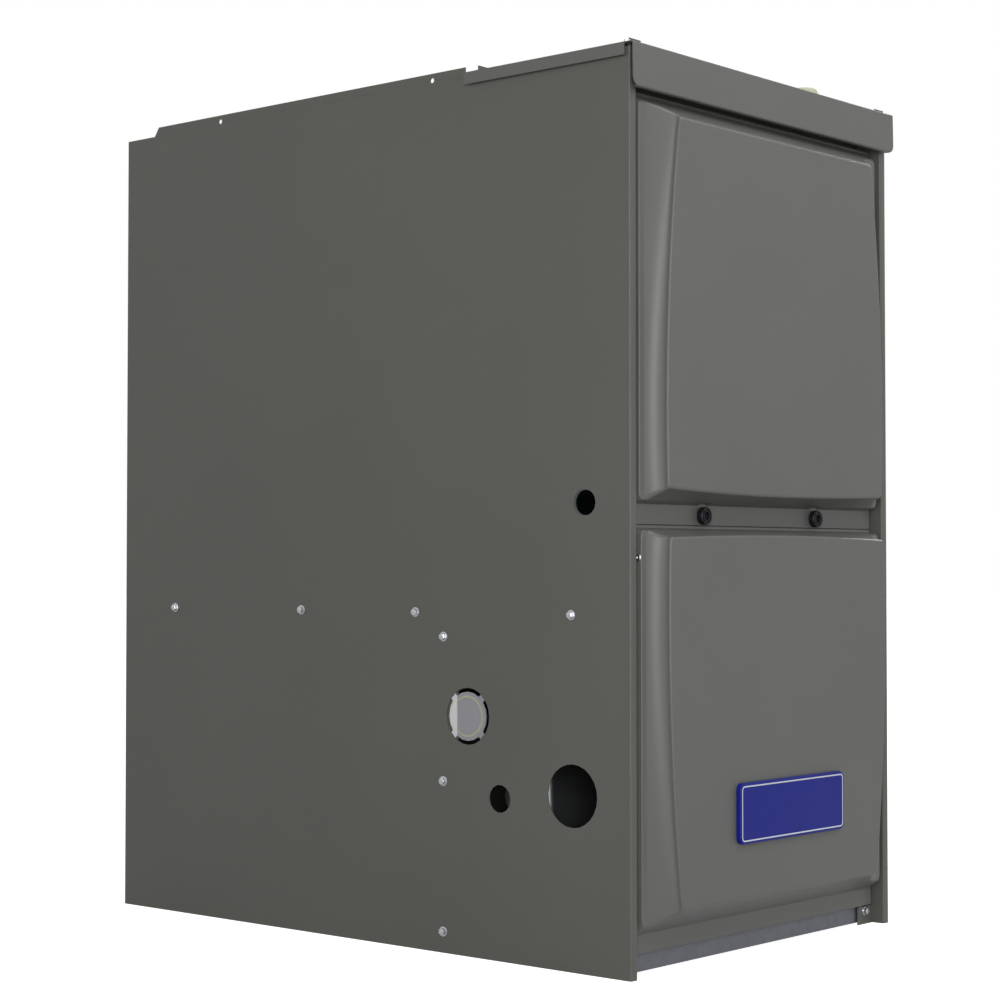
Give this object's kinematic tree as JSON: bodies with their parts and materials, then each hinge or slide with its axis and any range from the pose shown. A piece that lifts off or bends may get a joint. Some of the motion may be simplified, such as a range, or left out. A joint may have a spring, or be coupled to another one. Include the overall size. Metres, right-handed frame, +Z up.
{
  "type": "forced air gas furnace",
  "caption": "Upright sheet metal furnace cabinet with two pressed front doors, a blower over a heat exchanger, burners, inducer and duct openings at the top and the base.",
  "frame": {"origin": "centre of the bounding box at the level of the floor", "axes": "+Z up, -Y out of the doors, +X to the right as the doors are faced"},
  "size_m": [0.453, 0.7374, 0.8661],
  "materials": {
    "casing_paint": "dark warm grey semi-gloss powder coat, slightly darker than the doors",
    "door_paint": "grey semi-gloss powder coat on pressed steel",
    "galvanised": "galvanised sheet with a faint spangle",
    "black_plastic": "black moulded plastic",
    "steel": "turned and plated steel",
    "badge": "glossy deep blue with a silver border",
    "milky_plastic": "milky translucent plastic",
    "pale_plastic": "pale yellow green plastic",
    "motor_paint": "black baked enamel",
    "circuit_board": "green solder mask with dark relays",
    "winding": "varnished copper winding in a steel frame",
    "ceramic": "off-white porcelain",
    "foil": "foil facing on fibre board",
    "aluminised": "dull aluminium grey",
    "black_pipe": "black lacquered steel pipe",
    "rubber": "matt black rubber",
    "stainless": "stainless tube, lightly tinted by heat"
  },
  "bodies": {
    "cabinet": {"cabinet_wrapper": "casing_paint", "top_front_cover": "door_paint", "return_opening_frame": "casing_paint", "front_header": "galvanised", "base_pan": "galvanised", "supply_opening_frame": "galvanised", "blower_deck": "galvanised", "vestibule_panel": "casing_paint", "door_crossbar": "galvanised", "side_hole_plug": "milky_plastic", "top_hole_plug": "pale_plastic", "blower_housing": "galvanised", "blower_motor": "motor_paint", "motor_mount": "galvanised", "control_tray": "galvanised", "control_board": "circuit_board", "transformer": "winding", "junction_box": "galvanised", "door_switch": "black_plastic", "lining_left": "foil", "lining_right": "foil", "lining_back": "foil", "burner_1": "aluminised", "burner_2": "aluminised", "burner_3": "aluminised", "burner_4": "aluminised", "burner_rack": "galvanised", "gas_valve": "aluminised", "gas_manifold": "black_pipe", "igniter": "ceramic", "flame_sensor": "ceramic", "rollout_switch_left": "black_plastic", "rollout_switch_right": "black_plastic", "limit_switch": "black_plastic", "collector_box": "black_plastic", "inducer_housing": "black_plastic", "inducer_motor": "motor_paint", "vent_coupling": "rubber", "pressure_switch": "black_plastic", "pressure_hose": "rubber", "condensate_trap": "black_plastic", "drain_hose": "rubber", "heat_tube_1": "stainless", "heat_tube_2": "stainless", "heat_tube_3": "stainless", "heat_tube_4": "stainless", "rear_header": "stainless", "finned_coil": "aluminised"},
    "upper_door": {"upper_door": "door_paint"},
    "lower_door": {"lower_door": "door_paint", "blank_badge": "badge"},
    "left_knob": {"left_knob": "black_plastic", "left_knob_stud": "steel"},
    "right_knob": {"right_knob": "black_plastic", "right_knob_stud": "steel"},
    "blower_wheel": {"blower_wheel": "galvanised", "blower_shaft": "steel"},
    "inducer_wheel": {"inducer_wheel": "black_plastic"},
    "gas_valve_dial": {"gas_valve_dial": "black_plastic"},
    "door_switch_plunger": {"door_switch_plunger": "ceramic"}
  },
  "joints": [
    {"name": "upper_door_tilt", "type": "hinge", "parent": "cabinet", "child": "upper_door", "pos_m": [0, -0.3205, 0.8166], "axis": [-1, 0, 0], "range_deg": [0, 20]},
    {"name": "lower_door_tilt", "type": "hinge", "parent": "cabinet", "child": "lower_door", "pos_m": [0, -0.3325, 0.0196], "axis": [1, 0, 0], "range_deg": [0, 30]},
    {"name": "left_knob_turn", "type": "hinge", "parent": "upper_door", "child": "left_knob", "pos_m": [-0.0967, -0.3355, 0.4242], "axis": [0, 1, 0], "range_deg": [0, 90]},
    {"name": "right_knob_turn", "type": "hinge", "parent": "upper_door", "child": "right_knob", "pos_m": [0.0967, -0.3355, 0.4242], "axis": [0, 1, 0], "range_deg": [0, 90]},
    {"name": "blower_spin", "type": "hinge", "parent": "cabinet", "child": "blower_wheel", "pos_m": [0, 0.1117, 0.56], "axis": [1, 0, 0], "continuous": true},
    {"name": "inducer_spin", "type": "hinge", "parent": "cabinet", "child": "inducer_wheel", "pos_m": [0.058, -0.17, 0.254], "axis": [0, 1, 0], "continuous": true},
    {"name": "gas_valve_turn", "type": "hinge", "parent": "cabinet", "child": "gas_valve_dial", "pos_m": [-0.15525, -0.1861, 0.19], "axis": [0, 0, 1], "range_deg": [0, 90]},
    {"name": "door_switch_press", "type": "slide", "parent": "cabinet", "child": "door_switch_plunger", "axis": [0, 1, 0], "range_m": [0, 0.004], "stiffness_N_per_m": 150}
  ]
}
